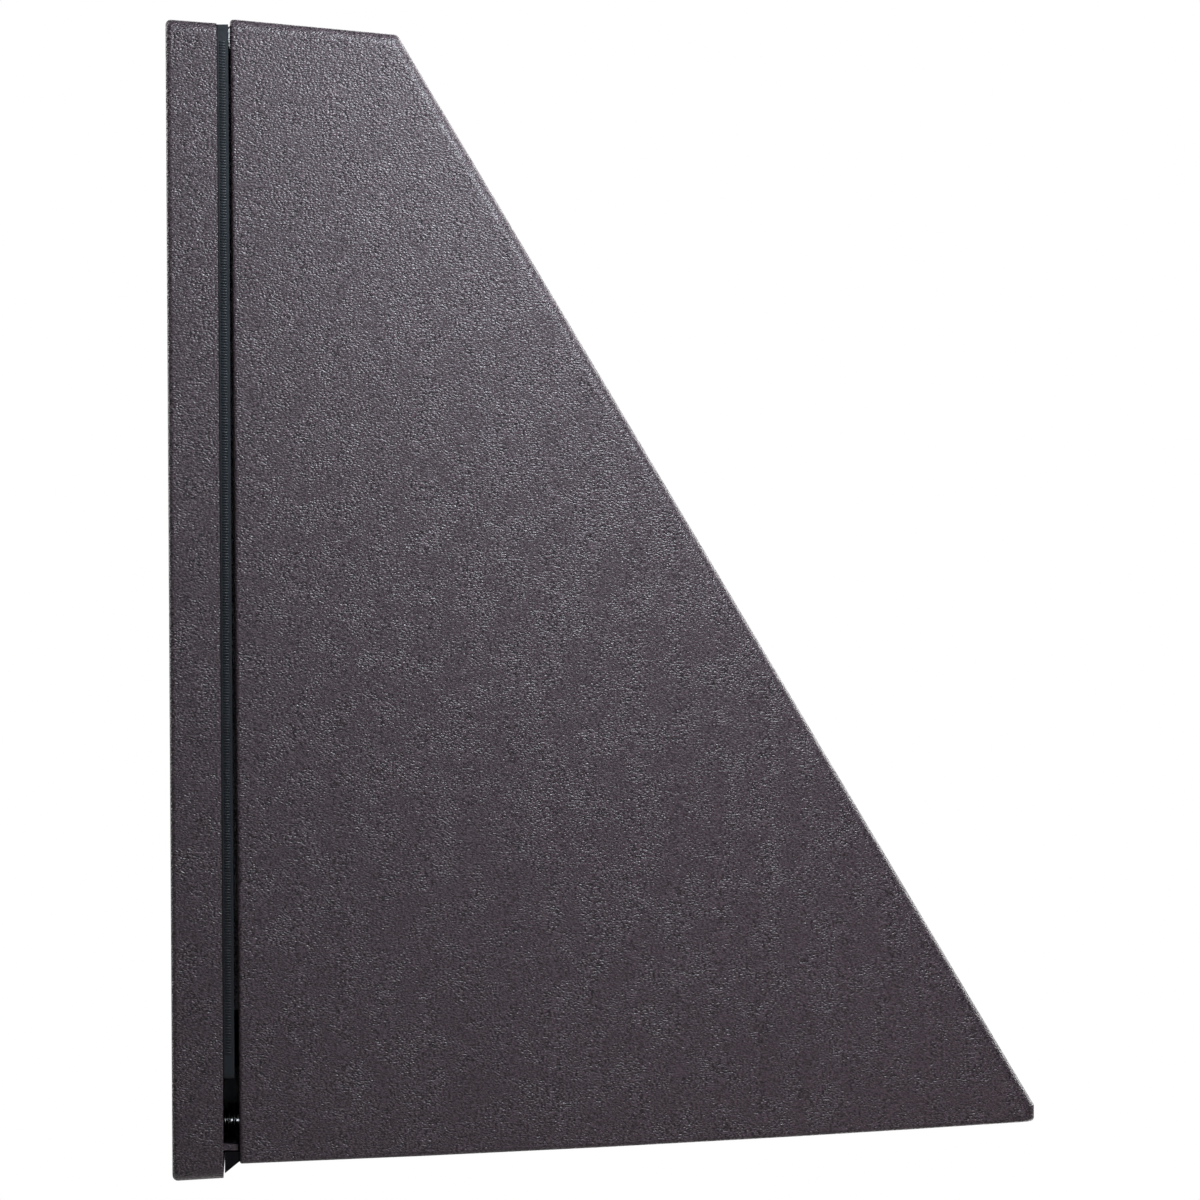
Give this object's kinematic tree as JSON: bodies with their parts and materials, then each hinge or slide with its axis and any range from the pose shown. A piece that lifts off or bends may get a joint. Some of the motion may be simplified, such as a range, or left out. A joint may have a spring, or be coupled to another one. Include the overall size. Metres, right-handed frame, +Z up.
{
  "type": "wall pack light",
  "caption": "Trapezoid full cut-off wall pack light: cast back plate, cast housing hinged at the top, lens facing down, captive closing screws.",
  "frame": {"origin": "centre of the junction box screw slots, on the wall plane at the middle of the back plate", "axes": "+X along the wall, +Y into the wall, +Z up; the lamp reaches out along -Y"},
  "size_m": [0.36, 0.1755, 0.2369],
  "materials": {
    "bronze_coat": "die-cast aluminium, textured dark bronze powder coat",
    "foam": "closed-cell foam",
    "black_rubber": "matte",
    "lens_silicone": "translucent white silicone",
    "clear_glass": "clear tempered",
    "stainless": "bright",
    "zinc_steel": "zinc plated",
    "brass": "plain",
    "green_screw": "green dyed zinc",
    "white_reflector": "matte white",
    "bare_aluminium": "mill finish",
    "grey_pad": "soft filled silicone",
    "white_board": "white solder mask",
    "led_phosphor": "phosphor",
    "driver_aluminium": "satin",
    "black_plastic": "moulded",
    "white_plastic": "moulded",
    "black_lead": "soft sheath",
    "white_lead": "soft sheath",
    "green_lead": "soft sheath",
    "red_lead": "soft sheath"
  },
  "bodies": {
    "plate": {"back_plate": "bronze_coat", "wall_foam": "foam", "wiring_grommet": "black_rubber", "housing_seal": "black_rubber", "hinge_pins": "stainless", "ground_screw": "green_screw", "ground_clamp": "brass"},
    "front": {"housing": "bronze_coat", "lens_frame": "bronze_coat", "lens_glass": "clear_glass", "lens_seal": "lens_silicone", "lens_frame_screws": "stainless", "reflector": "white_reflector", "heat_sink": "bare_aluminium", "heat_sink_screws": "zinc_steel", "thermal_pad": "grey_pad", "led_board": "white_board", "led_packages": "led_phosphor", "board_screws": "zinc_steel", "driver_bracket": "zinc_steel", "driver_case": "driver_aluminium", "driver_end_caps": "black_plastic", "bracket_screws": "zinc_steel", "driver_screws": "zinc_steel", "terminal_block": "white_plastic", "terminal_screws": "brass", "block_screws": "zinc_steel", "lead_grommet": "black_rubber", "latch_springs": "stainless", "drip_lip": "black_rubber", "line_lead": "black_lead", "neutral_lead": "white_lead", "earth_lead": "green_lead", "positive_lead": "red_lead", "negative_lead": "black_lead"},
    "left_screw": {"latch_screw_left": "stainless"},
    "right_screw": {"latch_screw_right": "stainless"}
  },
  "joints": [
    {"name": "housing_hinge", "type": "hinge", "parent": "plate", "child": "front", "pos_m": [0, -0.0137, 0.1167], "axis": [-1, 0, 0], "range_deg": [0, 100]},
    {"name": "left_screw_travel", "type": "slide", "parent": "front", "child": "left_screw", "axis": [0, -1, 0], "range_m": [0, 0.006]},
    {"name": "right_screw_travel", "type": "slide", "parent": "front", "child": "right_screw", "axis": [0, -1, 0], "range_m": [0, 0.006]}
  ]
}
